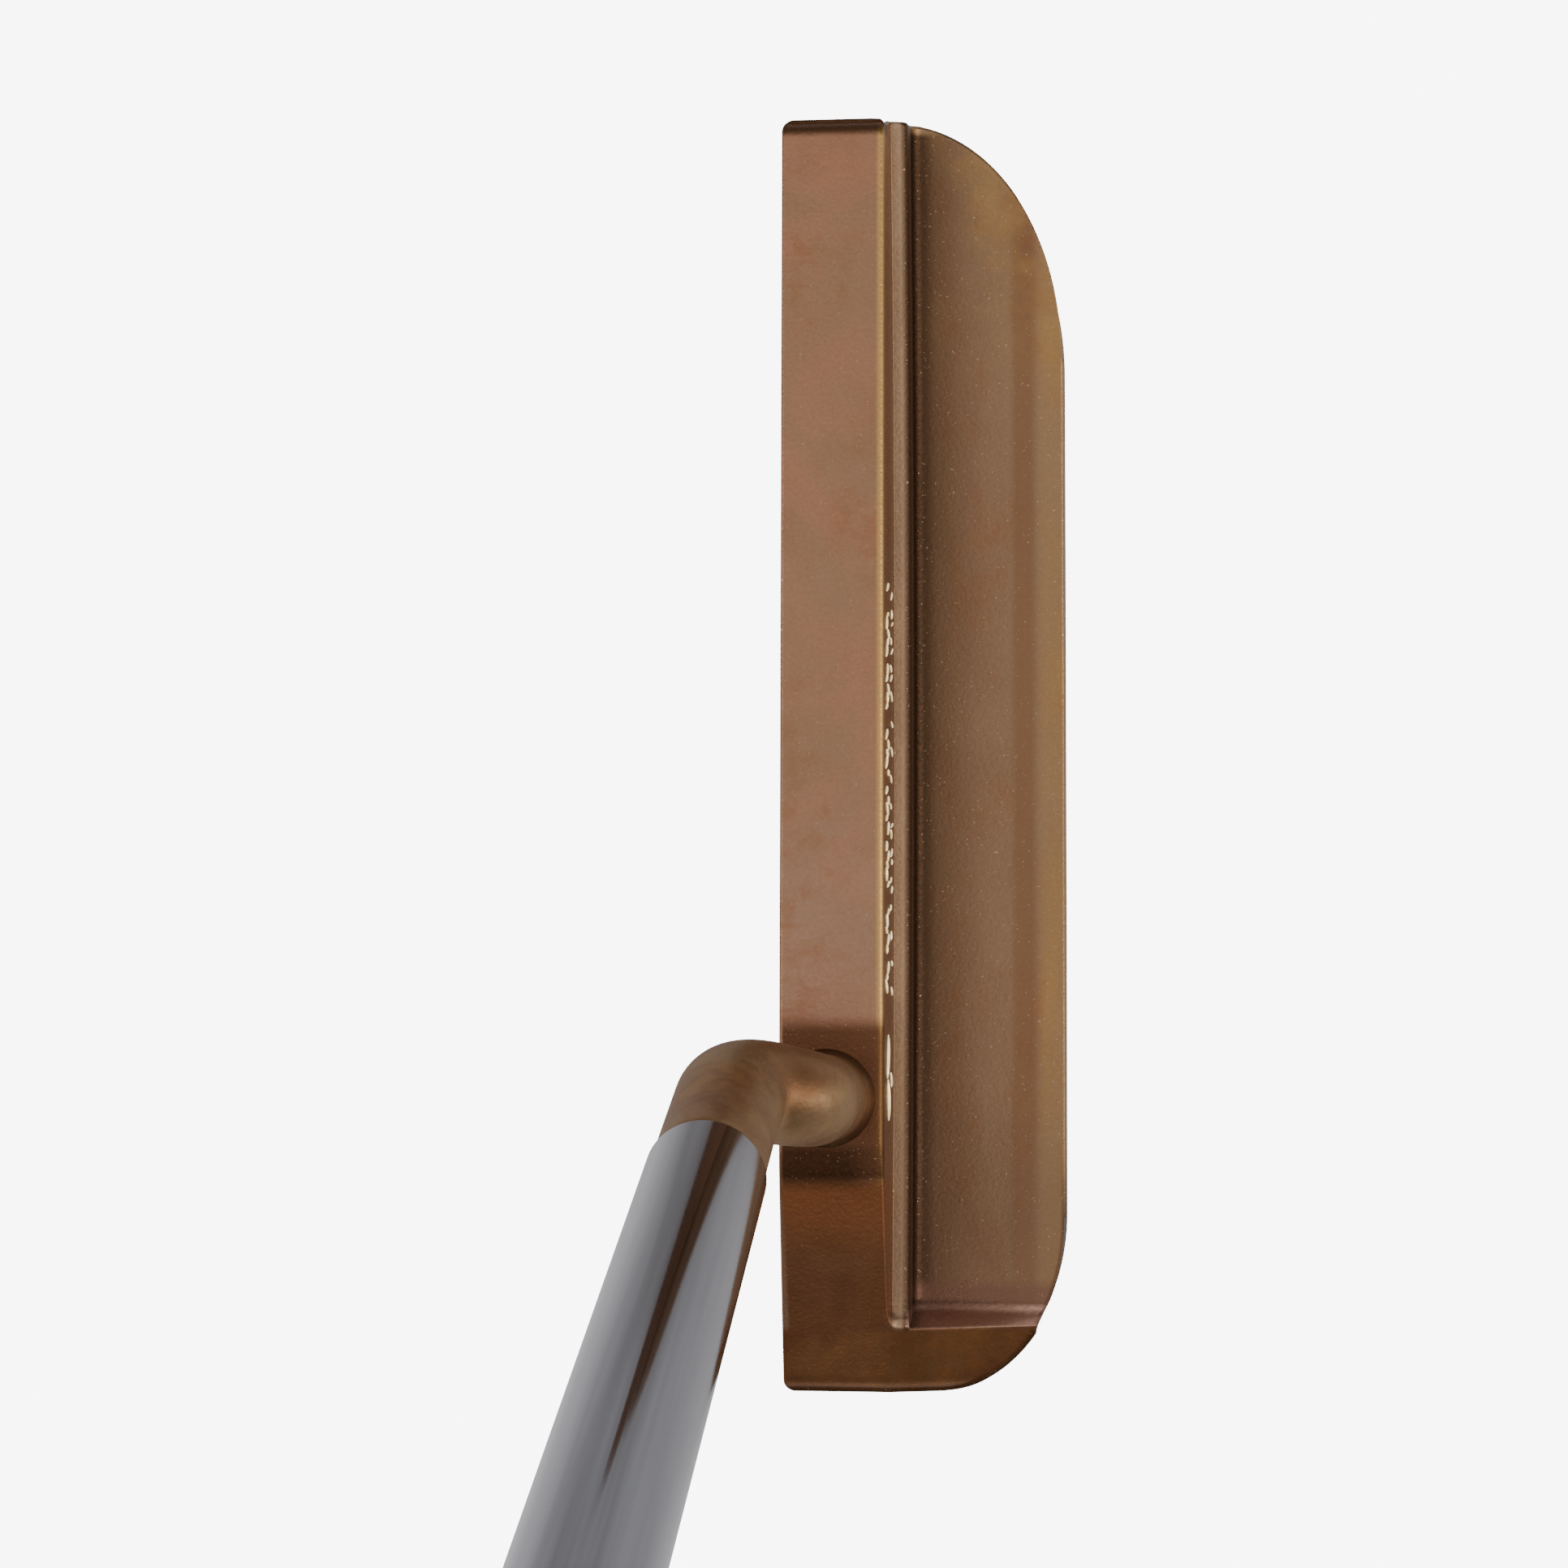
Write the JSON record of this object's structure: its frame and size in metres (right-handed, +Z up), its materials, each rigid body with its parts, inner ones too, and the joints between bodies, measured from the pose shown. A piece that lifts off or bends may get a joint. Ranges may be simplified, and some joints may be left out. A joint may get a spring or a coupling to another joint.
{
  "type": "golf putter",
  "caption": "Blade golf putter: bronze-toned head with a cut-out back and soft flange, flow neck, chrome stepped steel shaft and black pistol grip",
  "frame": {"origin": "the middle of the flat part of the sole, where the head rests on the ground at address", "axes": "+Z up from the ground; +Y from the heel to the toe; +X from the face to the back flange, so the face looks to -X; the shaft leans 20 degrees from +Z towards -Y"},
  "size_m": [0.0402, 0.385, 0.8152],
  "materials": {
    "head_metal": "bead-blasted bronze with a mottled rosy, olive and gold patina",
    "neck_metal": "satin olive-brown bronze patina",
    "braze": "unfinished brazing metal inside the socket",
    "shaft_chrome": "mirror chrome plate",
    "glue": "cured amber epoxy",
    "tape": "double-sided grip tape",
    "grip_rubber": "moulded matte rubber with fine grooves",
    "cap_rubber": "moulded smooth rubber"
  },
  "bodies": {
    "root": {"head_blade": "head_metal", "flow_neck": "neck_metal", "neck_braze": "braze", "shaft": "shaft_chrome", "shaft_bond": "glue", "grip_tape": "tape", "grip": "grip_rubber", "grip_end_cap": "cap_rubber"}
  },
  "joints": []
}
